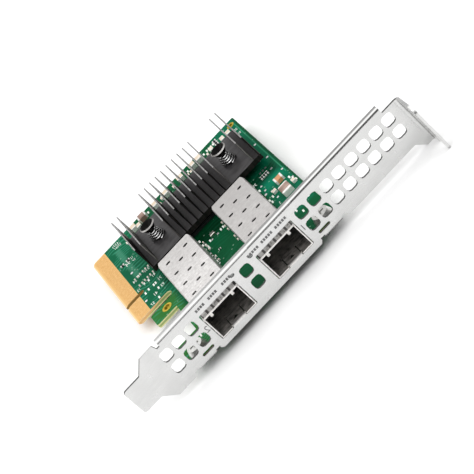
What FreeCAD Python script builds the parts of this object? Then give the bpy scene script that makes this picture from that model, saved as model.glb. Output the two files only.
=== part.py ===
import FreeCAD, Part
import math
import os

# Two-port network interface card: an eight-lane edge-connector board with a
# finned heatsink on spring push pins, two transceiver cages and a full-height
# bracket.  Millimetres.
#
# Frame: the origin lies on the bracket's outer face, midway between the two
# ports, in the plane of the board's component side.  +X runs along the bracket
# from the tongue to the screw ear, +Y from the bracket into the card, and +Z
# is the board's normal on the component side.

V = FreeCAD.Vector
UP = V(0, 0, 1)
ALONG_X = V(1, 0, 0)
ALONG_Y = V(0, 1, 0)

# ---------------------------------------------------------------- dimensions
# Bracket, folded from one sheet
sheet = 0.86
bend_in = 0.24
bend_out = bend_in + sheet
ear_bend_in = 0.9
ear_bend_out = ear_bend_in + sheet
bracket_low_z = -2.75
bracket_width = 18.42
bracket_high_z = bracket_low_z + bracket_width
tongue_tip_x = -52.28
bracket_length = 121.02
ear_outer_x = tongue_tip_x + bracket_length
tongue_width = 10.2
tongue_length = 7.0
tongue_corner = 1.1
taper_end_x = tongue_tip_x + 11.1
flange_x0 = -34.3
flange_x1 = 62.0
flange_top_z = bracket_high_z - 0.32
flange_depth = 2.7
flange_edge_break = 0.3
ear_shoulder_z = bracket_low_z + 15.75
ear_drop = 3.17
ear_reach = 11.43
ear_taper_x0 = 62.2
ear_taper_x1 = 65.2
ear_notch_width = 4.42
ear_notch_y = -6.35
ear_notch_end_z = 0.1
ear_corner = 3.0
ear_tip_corner = 1.4
relief_depth = 1.55
relief_width = 1.7
relief_corner = 0.8

# Ports and the openings in the bracket's face
port_pitch = 24.765
port_cut_width = 15.3
port_cut_low_z = -0.5
port_cut_high_z = 10.85
vent_size = 4.1
vent_corner = 1.1
vent_pitch = 5.4
vent_first_x = 24.05
vent_rows_z = (4.35, 9.85)
vents_tongue_end = 3
vents_ear_end = 8
slit_length = 4.8
slit_height = 1.05
slit_x = 25.45
slit_z = 0.55
corner_chords = 2
window_x = 4.0
window_z = 12.28
window_width = 1.7
window_height = 1.1

# Bracket tabs under the board, and their screws
tab_x = 27.6
tab_width = 7.4
tab_end_y = 10.6
tab_end_sides = 24
screw_y = 6.0
screw_head_r = 3.7
screw_head_height = 2.1
screw_recess_width = 3.4
screw_recess_slot = 0.7
screw_recess_depth = 1.2
screw_shank_r = 1.48
tab_hole_r = 1.5
screw_length = 5.0

# Circuit board
board_thick = 1.57
board_edge_x = -37.25
board_height = 68.9
board_top_x = board_edge_x + board_height
board_front_y = 1.4
connector_front_y = 46.5
connector_length = 52.2
board_back_y = connector_front_y + connector_length
board_shoulder_x = -24.2
screw_lug_x = -32.6
screw_lug_back_y = 15.9
guide_lug_x = -32.8
guide_lug_front_y = 35.4
guide_lug_back_y = 42.9
key_centre_y = connector_front_y + 12.5
key_width = 1.9
key_depth = 8.2
bevel_reach = 1.3
bevel_drop = 0.45
edge_corner = 0.6
board_corner = 0.5

# Gold contacts of the card edge
finger_pitch = 1.0
finger_width = 0.74
finger_thick = 0.05
finger_inner_x = board_edge_x + 5.6
fingers_before_key = 11
fingers_after_key = 38

# Transceiver cages
cage_sheet = 0.25
cage_half = 7.2
cage_height = 9.1
cage_front_y = -0.45
cage_back_y = 46.8
cage_shoulder_y = 44.6
cage_shoulder_half = 6.45
cage_top_break = 0.3
cage_floor_end_y = 31.6
cage_slot_length = 1.9
cage_slot_width = 1.15
cage_slot_pitch_y = 4.37
cage_slot_last_y = 42.0
cage_slot_offset = 3.95
cage_slot_rows = 9
cage_pin_ys = (8.0, 19.0, 30.0, 42.0)
cage_pin_width = 0.8
cage_pin_tip_z = -2.5
cage_pin_hole_r = 0.55
latch_half = 2.7
latch_slit = 0.35
latch_length = 6.5
latch_rise = 0.45
latch_bend_y = 0.55
latch_lip_y = -0.1
latch_lip_z = -0.45
latch_catch = ((-1.1, 1.6), (1.1, 1.6), (0, 3.4))

# Spring-finger collar round each cage mouth
collar_sheet = 0.15
collar_band_y0 = 4.6
collar_band_y1 = 6.2
collar_hem_y1 = -0.1
collar_fingers_top = 6
collar_finger_width = 1.6
collar_pitch_top = 2.35
collar_crest_top = 1.65
collar_fingers_side = 3
collar_pitch_side = 2.7
collar_crest_side = 0.4

# Host connectors inside the cages
host_front_y = 33.0
host_back_y = 42.2
host_half = 5.2
host_height = 6.3
mouth_half = 4.5
mouth_low_z = 2.9
mouth_high_z = 4.5
mouth_depth = 6.0
contact_pitch = 0.8
contact_width = 0.36
contact_thick = 0.2
contacts_per_row = 10

# Controller, thermal pad and heatsink
sink_x = 3.6
sink_y = 69.2
chip_size = 21.0
chip_base_height = 1.2
lid_size = 15.0
lid_top_z = 2.55
sink_low_z = 2.9
sink_base = 1.9
sink_top_z = 13.7
sink_length_y = 26.4
fin_pitch = 2.607
fin_thick = 0.42
fin_places = 20
fins_left_out = (2, 3, 4, 15, 16, 17)
sink_side_margin = 0.5
pin_offset_x = 16.8
pin_row_y = 68.0
pin_hole_r = 1.9

# Push pins and their springs
pin_shank_half = 0.95
pin_shank_depth = 1.8
pin_split_half = 0.35
pin_split_top_z = -1.0
pin_head_r = 2.95
pin_head_top_z = 11.1
pin_head_thick = 2.2
pin_head_low_r = 1.75
pin_rim_width = 0.45
pin_rim_break = 0.35
pin_board_hole_r = 1.7
pin_barb_half = 1.6
pin_tip_half = 0.75
pin_tip_z = -4.3
pin_dish_depth = 1.2
spring_wire_r = 0.25
spring_low_r = 2.65
spring_high_r = 1.6
spring_turns = 4.5
spring_stations_per_turn = 12
spring_wire_sides = 6
spring_gather = 1.35
spring_taper = 2.8

# Metal ends of chip parts, and the leads of the small-outline package
termination_share = 0.22
termination_proud = 0.03
package_stand = 0.1
lead_width = 0.4
lead_thick = 0.2
lead_reach = 1.0

# Plated holes of the board
guide_hole = (-26.75, 39.4, 1.15, 1.9)
tooling_hole = (29.2, 95.4, 0.8, 1.45)
plating = 0.05
plated_hole_sides = 16
small_hole_sides = 8

# Light guides and their lamps
guide_half = 0.6
guide_post_y0 = 3.3
guide_post_y1 = 5.1
guide_nose_z0 = 11.88
guide_nose_z1 = 12.68
lamp_size = (0.6, 1.0, 0.5)


# ------------------------------------------------------------------- helpers
def block(x0, x1, y0, y1, z0, z1):
    """A box between two corners."""
    return Part.makeBox(x1 - x0, y1 - y0, z1 - z0, V(x0, y0, z0))


def slab(x, y, z0, size_x, size_y, height):
    """A box centred on x and y that stands on z0."""
    return block(x - size_x / 2, x + size_x / 2, y - size_y / 2, y + size_y / 2, z0, z0 + height)


def rod(r, x, y, z0, z1):
    """An upright cylinder."""
    return Part.makeCylinder(r, z1 - z0, V(x, y, z0), UP)


def prism(points, direction):
    """A closed outline of vectors, swept along a vector."""
    return Part.Face(Part.makePolygon(points + points[:1])).extrude(direction)


def turned_solid(profile):
    """A turned solid about the Z axis from its (radius, height) outline."""
    points = [V(r, 0, z) for r, z in profile]
    return Part.Face(Part.makePolygon(points + points[:1])).revolve(V(0, 0, 0), UP, 360)


def fuse(shapes):
    """One solid out of touching ones, with the seams between flush faces removed."""
    return shapes[0].multiFuse(shapes[1:]).removeSplitter()


def break_upright(shape, places, size, tolerance=0.02):
    """Break the upright edges that pass through the given (x, y) places."""
    chosen = []
    for edge in shape.Edges:
        a, b = edge.Vertexes[0].Point, edge.Vertexes[-1].Point
        if abs(a.z - b.z) < tolerance:
            continue
        if any(math.hypot(a.x - x, a.y - y) < tolerance and math.hypot(b.x - x, b.y - y) < tolerance
               for x, y in places):
            chosen.append(edge)
    return shape.makeChamfer(size, chosen)


def rounded_outline(width, height, radius):
    """Points (a, b) of a small rectangle about the origin, each corner rounded by a few chords."""
    points = []
    for quarter, (side, end) in enumerate(((1, 1), (-1, 1), (-1, -1), (1, -1))):
        for i in range(corner_chords + 1):
            angle = math.radians(90 * (quarter + i / corner_chords))
            point = (side * (width / 2 - radius) + radius * math.cos(angle),
                     end * (height / 2 - radius) + radius * math.sin(angle))
            if not points or math.dist(point, points[-1]) > 1e-6:
                points.append(point)
    if math.dist(points[0], points[-1]) < 1e-6:
        points.pop()
    return points


def face_window(x, z, width, height, radius):
    """A cutter through the bracket's face."""
    outline = rounded_outline(width, height, radius)
    return prism([V(x + a, -1, z + b) for a, b in outline], V(0, sheet + 2, 0))


def many_sided(r, x, y, z0, z1, sides=small_hole_sides):
    """An upright rod or hole cutter of few sides, for small and hidden round forms."""
    turns = [2 * math.pi * (i + 0.5) / sides for i in range(sides)]
    return prism([V(x + r * math.cos(a), y + r * math.sin(a), z0) for a in turns], V(0, 0, z1 - z0))


def quarter_bend(centre, direction, length, keep, inner=bend_in):
    """A quarter of a sheet-metal bend about an axis; keep is the box that holds the quarter."""
    ring = Part.makeCylinder(inner + sheet, length, centre, direction)
    ring = ring.cut(Part.makeCylinder(inner, length, centre, direction))
    return ring.common(keep)


def save(shape, name):
    """Write one node, and report what it holds."""
    shape.exportStep("parts/%s.step" % name)
    facts = (name, len(shape.Solids), shape.Volume, shape.isValid())
    print("%-30s solids %3d  volume %8.2f  valid %s" % facts)


def save_group(solids, name):
    """Write several separate solids as one node."""
    save(Part.makeCompound(solids), name)


# ------------------------------------------------------------------- bracket
def edges_through(plate, places):
    """The plate's edges that run through its thickness at the given (x, z) places."""
    chosen = []
    for edge in plate.Edges:
        a, b = edge.Vertexes[0].Point, edge.Vertexes[-1].Point
        if abs(a.y - b.y) > sheet / 2 and any(math.hypot(a.x - x, a.z - z) < 0.02 for x, z in places):
            chosen.append(edge)
    return chosen


def bracket_face():
    """The flat face in the XZ plane, without its bends."""
    low, high = bracket_low_z, bracket_high_z
    middle = low + bracket_width / 2
    relief_z = low + relief_depth
    tab_bend_z = -board_thick - sheet + bend_out
    top = flange_top_z - bend_out
    flat_end = ear_outer_x - ear_bend_out
    outline = [(tongue_tip_x, middle - tongue_width / 2), (tongue_tip_x, middle + tongue_width / 2),
               (tongue_tip_x + tongue_length, middle + tongue_width / 2), (taper_end_x, high),
               (flange_x0 - relief_width, high), (flange_x0 - relief_width + 0.6, top - 0.6),
               (flange_x0, top - 0.6), (flange_x0, top), (flange_x1, top), (flange_x1, ear_shoulder_z),
               (flat_end, ear_shoulder_z), (flat_end, low - ear_drop), (ear_taper_x1, low - ear_drop),
               (ear_taper_x0, low)]
    for side in (1, -1):
        inner, outer = side * tab_x + tab_width / 2, side * tab_x - tab_width / 2
        outline += [(inner + relief_width, low), (inner + relief_width, relief_z), (inner, relief_z),
                    (inner, tab_bend_z), (outer, tab_bend_z), (outer, relief_z),
                    (outer - relief_width, relief_z), (outer - relief_width, low)]
    outline += [(taper_end_x, low), (tongue_tip_x + tongue_length, middle - tongue_width / 2)]
    plate = prism([V(x, 0, z) for x, z in outline], V(0, sheet, 0))
    tongue_corners = [(tongue_tip_x, middle - tongue_width / 2), (tongue_tip_x, middle + tongue_width / 2)]
    relief_corners = []
    for side in (1, -1):
        relief_corners.append((side * tab_x + tab_width / 2 + relief_width, low))
        relief_corners.append((side * tab_x - tab_width / 2 - relief_width, low))
    plate = plate.makeFillet(tongue_corner, edges_through(plate, tongue_corners))
    return plate.makeChamfer(relief_corner, edges_through(plate, relief_corners))


def bracket_openings():
    """Every hole through the face: ports, vents, board slits and lamp windows."""
    cutters = []
    port_middle_z = (port_cut_low_z + port_cut_high_z) / 2
    for side in (-1, 1):
        cutters.append(face_window(side * port_pitch / 2, port_middle_z, port_cut_width,
                                   port_cut_high_z - port_cut_low_z, 0.4))
        cutters.append(face_window(side * slit_x, slit_z, slit_length, slit_height, slit_height / 2))
        cutters.append(face_window(side * window_x, window_z, window_width, window_height, window_height / 2))
    vents_x = [0.0]
    vents_x += [-vent_first_x - i * vent_pitch for i in range(vents_tongue_end)]
    vents_x += [vent_first_x + i * vent_pitch for i in range(vents_ear_end)]
    for x in vents_x:
        for z in vent_rows_z:
            cutters.append(face_window(x, z, vent_size, vent_size, vent_corner))
    return cutters


def bracket_flange():
    """The stiffening flange, folded back along the long edge."""
    length = flange_x1 - flange_x0
    centre = V(flange_x0, bend_out, flange_top_z - bend_out)
    keep = block(flange_x0, flange_x1, 0, bend_out, flange_top_z - bend_out, flange_top_z)
    bend = quarter_bend(centre, ALONG_X, length, keep)
    broken = flange_edge_break
    section = [(bend_out, flange_top_z - sheet), (flange_depth, flange_top_z - sheet),
               (flange_depth, flange_top_z - broken), (flange_depth - broken, flange_top_z),
               (bend_out, flange_top_z)]
    flat = prism([V(flange_x0, y, z) for y, z in section], V(length, 0, 0))
    return [bend, flat]


def bracket_tab(side):
    """A tab folded back under the board, with a round end and a tapped hole."""
    top, low = -board_thick, -board_thick - sheet
    centre_x = side * tab_x
    x0, x1 = centre_x - tab_width / 2, centre_x + tab_width / 2
    bend = quarter_bend(V(x0, bend_out, low + bend_out), ALONG_X, tab_width,
                        block(x0, x1, 0, bend_out, low, low + bend_out))
    round_y = tab_end_y - tab_width / 2
    end = many_sided(tab_width / 2, centre_x, round_y, low, top, tab_end_sides)
    flat = block(x0, x1, bend_out, round_y, low, top).fuse(end)
    return [bend, flat.cut(many_sided(tab_hole_r, centre_x, screw_y, low - 1, top + 1))]


def bracket_ear():
    """The ear bent outwards at the far end, with an open notch for the chassis screw."""
    low, high = bracket_low_z - ear_drop, ear_shoulder_z
    inner_x = ear_outer_x - sheet
    bend = quarter_bend(V(ear_outer_x - ear_bend_out, -ear_bend_in, low), UP, high - low,
                        block(ear_outer_x - ear_bend_out, ear_outer_x, -ear_bend_in, sheet, low, high),
                        ear_bend_in)
    plate = block(inner_x, ear_outer_x, -ear_reach, -ear_bend_in, low, high)
    corners = [(-ear_reach, high, ear_corner), (-ear_reach, low, ear_tip_corner)]
    for y, z, radius in corners:
        edges = [e for e in plate.Edges if all(abs(v.Point.y - y) < 0.01 and abs(v.Point.z - z) < 0.01
                                               for v in e.Vertexes)]
        plate = plate.makeFillet(radius, edges)
    notch_r = ear_notch_width / 2
    notch_centre_z = ear_notch_end_z - notch_r
    notch = block(inner_x - 1, ear_outer_x + 1, ear_notch_y - notch_r, ear_notch_y + notch_r,
                  low - 1, notch_centre_z)
    eye = Part.makeCylinder(notch_r, sheet + 2, V(inner_x - 1, ear_notch_y, notch_centre_z), ALONG_X)
    return [bend, plate.cut([notch, eye])]


def make_bracket():
    face = bracket_face().cut(bracket_openings())
    pieces = [face] + bracket_flange() + bracket_ear()
    for side in (-1, 1):
        pieces += bracket_tab(side)
    return fuse(pieces)


def bracket_screw(side):
    """A pan-head screw with a cross recess; it passes the board and ends in the tab."""
    x = side * tab_x
    head = turned_solid([(0, 0), (screw_head_r, 0), (screw_head_r * 0.78, screw_head_height),
                         (0, screw_head_height)])
    head.translate(V(x, screw_y, 0))
    body = fuse([head, many_sided(screw_shank_r, x, screw_y, board_thick - screw_length, 0)])
    recess_z = screw_head_height - screw_recess_depth
    arms = [slab(x, screw_y, recess_z, screw_recess_width, screw_recess_slot, 2 * screw_recess_depth),
            slab(x, screw_y, recess_z, screw_recess_slot, screw_recess_width, 2 * screw_recess_depth)]
    return body.cut(arms)


# ------------------------------------------------------------- circuit board
def board_outline():
    """Corner points of the board, from the front edge round to the back."""
    edge, c = board_edge_x, edge_corner
    return [(screw_lug_x, board_front_y), (board_top_x, board_front_y), (board_top_x, board_back_y),
            (edge + c, board_back_y), (edge, board_back_y - c),
            (edge, connector_front_y + c), (edge + c, connector_front_y),
            (board_shoulder_x, connector_front_y), (board_shoulder_x, guide_lug_back_y),
            (guide_lug_x, guide_lug_back_y), (guide_lug_x, guide_lug_front_y),
            (board_shoulder_x, guide_lug_front_y), (board_shoulder_x, screw_lug_back_y),
            (screw_lug_x, screw_lug_back_y)]


def cage_pin_places():
    """Places (x, y) of every cage pin on the board."""
    for side in (-1, 1):
        for wall in (-1, 1):
            for y in cage_pin_ys:
                yield side * port_pitch / 2 + wall * (cage_half - cage_sheet / 2), y


def sink_pin_places():
    return [(sink_x - pin_offset_x, pin_row_y), (sink_x + pin_offset_x, pin_row_y)]


def make_board():
    low = -board_thick
    board = prism([V(x, y, low) for x, y in board_outline()], V(0, 0, board_thick))
    slot_r = (connector_front_y - guide_lug_back_y) / 2
    board = break_upright(board, [(screw_lug_x, board_front_y), (screw_lug_x, screw_lug_back_y),
                                  (guide_lug_x, guide_lug_front_y), (guide_lug_x, guide_lug_back_y),
                                  (board_top_x, board_back_y), (board_top_x, board_front_y)], board_corner)
    holes = [rod(slot_r, board_shoulder_x, connector_front_y - slot_r, low - 1, 1)]
    key_end_x = board_edge_x + key_depth - key_width / 2
    holes.append(block(board_edge_x - 1, key_end_x, key_centre_y - key_width / 2,
                       key_centre_y + key_width / 2, low - 1, 1))
    holes.append(rod(key_width / 2, key_end_x, key_centre_y, low - 1, 1))
    for side in (-1, 1):
        holes.append(many_sided(screw_shank_r + 0.3, side * tab_x, screw_y, low - 1, 1))
    for x, y in sink_pin_places():
        holes.append(many_sided(pin_board_hole_r, x, y, low - 1, 1))
    for x, y, hole_r, rim_r in (guide_hole, tooling_hole):
        holes.append(many_sided(hole_r + plating, x, y, low - 1, 1, plated_hole_sides))
    for x, y in cage_pin_places():
        holes.append(many_sided(cage_pin_hole_r, x, y, low - 1, 1))
    for face_z, way in ((0, -1), (low, 1)):
        wedge = [V(board_edge_x - 1, connector_front_y - 1, face_z - way),
                 V(board_edge_x + bevel_reach, connector_front_y - 1, face_z - way),
                 V(board_edge_x + bevel_reach, connector_front_y - 1, face_z),
                 V(board_edge_x, connector_front_y - 1, face_z + way * bevel_drop),
                 V(board_edge_x - 1, connector_front_y - 1, face_z + way * bevel_drop)]
        holes.append(prism(wedge, V(0, connector_length + 2, 0)))
    return board.cut(holes)


def finger_centres():
    """Y of every edge contact: eleven before the key and the rest after it."""
    key_low, key_high = key_centre_y - key_width / 2, key_centre_y + key_width / 2
    before = [key_low - 0.62 - finger_pitch * i for i in range(fingers_before_key)]
    after = [key_high + 0.62 + finger_pitch * i for i in range(fingers_after_key)]
    return sorted(before + after)


def make_fingers(face_z, way):
    """Gold pads on one face of the card edge."""
    x0 = board_edge_x + bevel_reach
    z0, z1 = sorted((face_z, face_z + way * finger_thick))
    return [block(x0, finger_inner_x, y - finger_width / 2, y + finger_width / 2, z0, z1)
            for y in finger_centres()]


def plated_hole(x, y, hole_r, rim_r):
    """The plated wall of a hole, with its rim on the component side."""
    wall = many_sided(hole_r + plating, x, y, -board_thick, plating, plated_hole_sides)
    rim = many_sided(rim_r, x, y, 0, plating, plated_hole_sides)
    return fuse([wall, rim]).cut(many_sided(hole_r, x, y, -board_thick - 1, 1, plated_hole_sides))


# -------------------------------------------------------- transceiver cages
def cage_plan(half, front, shoulder_half, shoulder_y, back):
    """Plan of a cage about x = 0: straight sides that draw in at the rear."""
    return [(-half, front), (half, front), (half, shoulder_y), (shoulder_half, back),
            (-shoulder_half, back), (-half, shoulder_y)]


def cage_slots():
    """Cooling slots in the top, in rows of two and one by turns."""
    cutters = []
    for row in range(cage_slot_rows):
        y = cage_slot_last_y - row * cage_slot_pitch_y
        offsets = (-cage_slot_offset, cage_slot_offset) if row % 2 == 0 else (0.0,)
        for x in offsets:
            outline = rounded_outline(cage_slot_length, cage_slot_width, cage_slot_width / 2 - 0.01)
            cutters.append(prism([V(x + a, y + b, cage_height - 1) for a, b in outline], V(0, 0, 2)))
    return cutters


def make_latch():
    """The tongue that holds the module: it rises towards the mouth and ends in a lip that turns down."""
    t = cage_sheet
    section = [(latch_length, 0), (latch_length, t), (latch_bend_y, latch_rise + t),
               (latch_lip_y, latch_lip_z), (latch_lip_y + t, latch_lip_z), (latch_bend_y + t, latch_rise)]
    tongue = prism([V(-latch_half, y, z) for y, z in section], V(2 * latch_half, 0, 0))
    return tongue.cut(prism([V(x, y, -1) for x, y in latch_catch], V(0, 0, 3)))


def make_cage(centre_x):
    """A folded shell: top, sides, rear, part of a floor with its latch, and press-in pins."""
    t = cage_sheet
    outer = prism([V(x, y, 0) for x, y in cage_plan(cage_half, cage_front_y, cage_shoulder_half,
                                                     cage_shoulder_y, cage_back_y)], V(0, 0, cage_height))
    long_top = [e for e in outer.Edges if all(abs(v.Point.z - cage_height) < 0.01 for v in e.Vertexes)
                and abs(e.Vertexes[0].Point.x - e.Vertexes[-1].Point.x) < 0.01 and e.Length > 10]
    outer = outer.makeChamfer(cage_top_break, long_top)
    room = prism([V(x, y, t) for x, y in cage_plan(cage_half - t, cage_front_y - 1, cage_shoulder_half - t,
                                                    cage_shoulder_y - 0.1, cage_back_y - t)],
                 V(0, 0, cage_height - 2 * t))
    floor_gap = block(-cage_half + t, cage_half - t, cage_floor_end_y, cage_shoulder_y - 0.1, -1, 1)
    cutters = [room, floor_gap] + cage_slots()
    free_half = latch_half + latch_slit
    cutters.append(block(-free_half, free_half, cage_front_y - 1, latch_length, -1, t + 0.01))
    shell = outer.cut(cutters)
    pins = []
    for wall in (-1, 1):
        x0, x1 = sorted((wall * cage_half, wall * (cage_half - t)))
        for y in cage_pin_ys:
            half = cage_pin_width / 2
            points = [V(x0, y - half, 0.5), V(x0, y + half, 0.5), V(x0, y + half, cage_pin_tip_z + 0.5),
                      V(x0, y + 0.15, cage_pin_tip_z), V(x0, y - 0.15, cage_pin_tip_z),
                      V(x0, y - half, cage_pin_tip_z + 0.5)]
            pins.append(prism(points, V(x1 - x0, 0, 0)))
    cage = fuse([shell, make_latch()] + pins)
    cage.translate(V(centre_x, 0, 0))
    return cage


def bowed_finger(width, crest, end_y):
    """A bowed spring strip over a wall at height 0: it runs from the hem back to end_y."""
    front = collar_hem_y1
    t = collar_sheet
    rise = [(front, 0.0), (front + 0.5, crest), (front + 1.2, crest), (end_y, t), (end_y, 0.0),
            (end_y - 0.35, 0.0), (front + 1.1, crest - t), (front + 0.62, crest - t), (front + 0.18, 0.0)]
    return prism([V(-width / 2, y, z) for y, z in rise], V(width, 0, 0))


def turned(shape, angle, move):
    """Turn about the Y axis through the origin, then move."""
    copy = shape.copy()
    copy.rotate(V(0, 0, 0), ALONG_Y, angle)
    copy.translate(move)
    return copy


def make_collar(centre_x):
    """The spring-finger band round a cage mouth, which meets the edge of the bracket's opening."""
    t = collar_sheet
    y0, y1, hem1 = collar_band_y0, collar_band_y1, collar_hem_y1
    side_x = cage_half + t
    lift = 0.02
    pieces = [block(-side_x, side_x, y0, y1, cage_height, cage_height + t)]
    pieces.append(block(-side_x, side_x, cage_front_y, hem1 + 0.15, cage_height, cage_height + t))
    for side in (-1, 1):
        x0, x1 = sorted((side * (latch_half + latch_slit), side * side_x))
        pieces.append(block(x0, x1, cage_front_y, hem1 + 0.15, -t, 0))
    for side in (-1, 1):
        x0, x1 = sorted((side * cage_half, side * side_x))
        pieces.append(block(x0, x1, y0, y1, lift, cage_height + t))
        pieces.append(block(x0, x1, cage_front_y, hem1 + 0.15, -t, cage_height + t))
    top_finger = bowed_finger(collar_finger_width, collar_crest_top, y0 + 0.3)
    side_finger = bowed_finger(collar_finger_width, collar_crest_side, y0 + 0.3)
    low_finger = bowed_finger(collar_finger_width, collar_crest_side - 0.05, 1.3)
    for i in range(collar_fingers_top):
        x = (i - (collar_fingers_top - 1) / 2) * collar_pitch_top
        pieces.append(turned(top_finger, 0, V(x, 0, cage_height)))
        if abs(x) - collar_finger_width / 2 > latch_half:
            pieces.append(turned(low_finger, 180, V(x, 0, 0)))
    for i in range(collar_fingers_side):
        z = cage_height / 2 + (i - (collar_fingers_side - 1) / 2) * collar_pitch_side
        pieces.append(turned(side_finger, 90, V(cage_half, 0, z)))
        pieces.append(turned(side_finger, -90, V(-cage_half, 0, z)))
    collar = fuse(pieces)
    collar.translate(V(centre_x, 0, 0))
    return collar


def connector_contacts(centre_x):
    """Two rows of contact blades, which lie in the upper and lower walls of the connector's mouth."""
    contacts = []
    for i in range(contacts_per_row):
        x = centre_x + (i - (contacts_per_row - 1) / 2) * contact_pitch
        for z in (mouth_low_z, mouth_high_z - contact_thick):
            contacts.append(block(x - contact_width / 2, x + contact_width / 2, host_front_y + 1.0,
                                  host_front_y + mouth_depth, z, z + contact_thick))
    return contacts


def make_host_connector(centre_x):
    """The moulded connector that takes the module's card edge."""
    body = block(centre_x - host_half, centre_x + host_half, host_front_y, host_back_y, 0, host_height)
    top_back = [e for e in body.Edges if all(abs(v.Point.z - host_height) < 0.01 for v in e.Vertexes)]
    body = body.makeChamfer(0.5, top_back)
    mouth = block(centre_x - mouth_half, centre_x + mouth_half, host_front_y - 1, host_front_y + mouth_depth,
                  mouth_low_z, mouth_high_z)
    step = block(centre_x - mouth_half, centre_x + mouth_half, host_front_y - 1, host_front_y + 0.9,
                 mouth_low_z - 0.5, mouth_high_z + 0.5)
    return body.cut([mouth, step])


# --------------------------------------------------- controller and heatsink
def make_chip():
    base = slab(sink_x, sink_y, 0, chip_size, chip_size, chip_base_height)
    lid = slab(sink_x, sink_y, chip_base_height, lid_size, lid_size, lid_top_z - chip_base_height)
    rim = [e for e in lid.Edges if all(abs(v.Point.z - lid_top_z) < 0.01 for v in e.Vertexes)]
    return fuse([base, lid.makeChamfer(0.4, rim)])


def make_heatsink():
    """A base plate with thin upright fins; two bays are left free for the push pins."""
    first_x = sink_x - fin_pitch * (fin_places - 1) / 2
    base_top = sink_low_z + sink_base
    y0, y1 = sink_y - sink_length_y / 2, sink_y + sink_length_y / 2
    half_base = fin_pitch * (fin_places - 1) / 2 + sink_side_margin
    base = block(sink_x - half_base, sink_x + half_base, y0, y1, sink_low_z, base_top)
    pieces = [base]
    for place in range(fin_places):
        if place in fins_left_out:
            continue
        x = first_x + place * fin_pitch
        pieces.append(block(x - fin_thick / 2, x + fin_thick / 2, y0, y1, base_top, sink_top_z))
    holes = [many_sided(pin_hole_r, x, y, sink_low_z - 1, base_top + 1) for x, y in sink_pin_places()]
    return fuse(pieces).cut(holes)


def make_push_pin(x, y):
    """A moulded pin: a dished and tapered head, and a flat shank that ends in a split barb."""
    top, low = pin_head_top_z, pin_head_top_z - pin_head_thick
    dish_r = pin_head_r - pin_rim_break - pin_rim_width
    head = turned_solid([(0, top - pin_dish_depth), (dish_r, top), (pin_head_r - pin_rim_break, top),
                         (pin_head_r, top - pin_rim_break), (pin_head_low_r, low), (0, low)])
    half_outline = [(pin_shank_half, low), (pin_shank_half, -board_thick - 0.1),
                    (pin_barb_half, -board_thick - 0.35), (pin_tip_half, pin_tip_z),
                    (pin_split_half, pin_tip_z), (pin_split_half, pin_split_top_z)]
    outline = half_outline + [(-reach, z) for reach, z in reversed(half_outline)]
    shank = prism([V(reach, -pin_shank_depth / 2, z) for reach, z in outline], V(0, pin_shank_depth, 0))
    pin = fuse([head, shank])
    pin.translate(V(x, y, 0))
    return pin


def make_pin_spring(x, y):
    """A conical coil spring: its coils gather at the heatsink and narrow towards the pin's head."""
    low = sink_low_z + sink_base + spring_wire_r
    high = pin_head_top_z - pin_head_thick - spring_wire_r - 0.02
    stations = int(spring_turns * spring_stations_per_turn)
    rings = []
    for i in range(stations + 1):
        f = i / stations
        turn = 2 * math.pi * spring_turns * f - math.pi / 2
        outward = V(math.cos(turn), math.sin(turn), 0)
        coil_r = spring_low_r + (spring_high_r - spring_low_r) * f ** spring_taper
        middle = V(x, y, low + (high - low) * f ** spring_gather) + outward * coil_r
        ring = []
        for k in range(spring_wire_sides):
            angle = 2 * math.pi * k / spring_wire_sides
            ring.append(middle + (outward * math.cos(angle) + UP * math.sin(angle)) * spring_wire_r)
        rings.append(Part.makePolygon(ring + ring[:1]))
    return Part.makeLoft(rings, True, True)


# ----------------------------------------------------------- light guides
def make_light_guide(side):
    """A clear guide that carries a lamp's light up from the board and out at the bracket."""
    x0, x1 = side * window_x - guide_half, side * window_x + guide_half
    outline = [(guide_post_y0, 0), (guide_post_y1, 0), (guide_post_y1, guide_nose_z1 - 1.0),
               (guide_post_y1 - 1.0, guide_nose_z1), (0.1, guide_nose_z1), (0.1, guide_nose_z0),
               (guide_post_y0, guide_nose_z0)]
    guide = prism([V(x0, y, z) for y, z in outline], V(x1 - x0, 0, 0))
    middle_y = (guide_post_y0 + guide_post_y1) / 2
    return guide.cut(slab(side * window_x, middle_y, -1, lamp_size[0] + 0.2, lamp_size[1] + 0.2, 1.8))


def make_lamp(side):
    middle_y = (guide_post_y0 + guide_post_y1) / 2
    return slab(side * window_x, middle_y, 0, *lamp_size)


# ------------------------------------------------------ surface-mounted parts
# Each row: x, y, size along x, size along y, height
large_capacitors = [(x, 94.0, 2.5, 3.2, 1.6) for x in (-18.2, -7.7, -1.9, 4.9, 10.6, 13.7)]
large_capacitors += [(26.95, 42.4, 3.3, 2.7, 1.4), (29.9, 35.0, 1.25, 2.0, 1.0)]
small_capacitors = [(x, y, 0.5, 1.0, 0.5) for x in (-4.35, 4.35) for y in (35.5, 38.5, 45.0, 48.0, 51.0)]
small_capacitors += [(-29.0 + 1.25 * i, y, 0.5, 1.0, 0.5) for y in (62.6, 68.0) for i in range(6)]
small_capacitors += [(23.2, 39.2, 1.6, 1.7, 0.9), (-4.4, 94.4, 0.8, 1.6, 0.7), (1.2, 93.9, 0.8, 1.6, 0.7)]
chip_resistors = [(23.3 + 0.92 * i, 52.2, 0.55, 1.9, 0.45) for i in range(4)]
chip_resistors += [(21.6, 92.5 + 1.6 * i, 1.6, 0.8, 0.5) for i in range(3)]
chip_resistors += [(-29.2, 81.6, 1.6, 0.8, 0.5), (-26.6, 81.6, 1.6, 0.8, 0.5), (-1.9, 40.0, 1.0, 0.5, 0.4)]
power_inductors = [(26.2, 33.8, 3.8, 5.0, 2.1), (-13.4, 94.6, 3.6, 3.0, 1.9)]
hidden_side_capacitors = [(sink_x + 2.4 * i, sink_y + 2.6 * j, 0.6, 1.2, 0.6)
                          for i in (-2, -1, 0, 1, 2) for j in (-1, 0, 1)]


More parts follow.
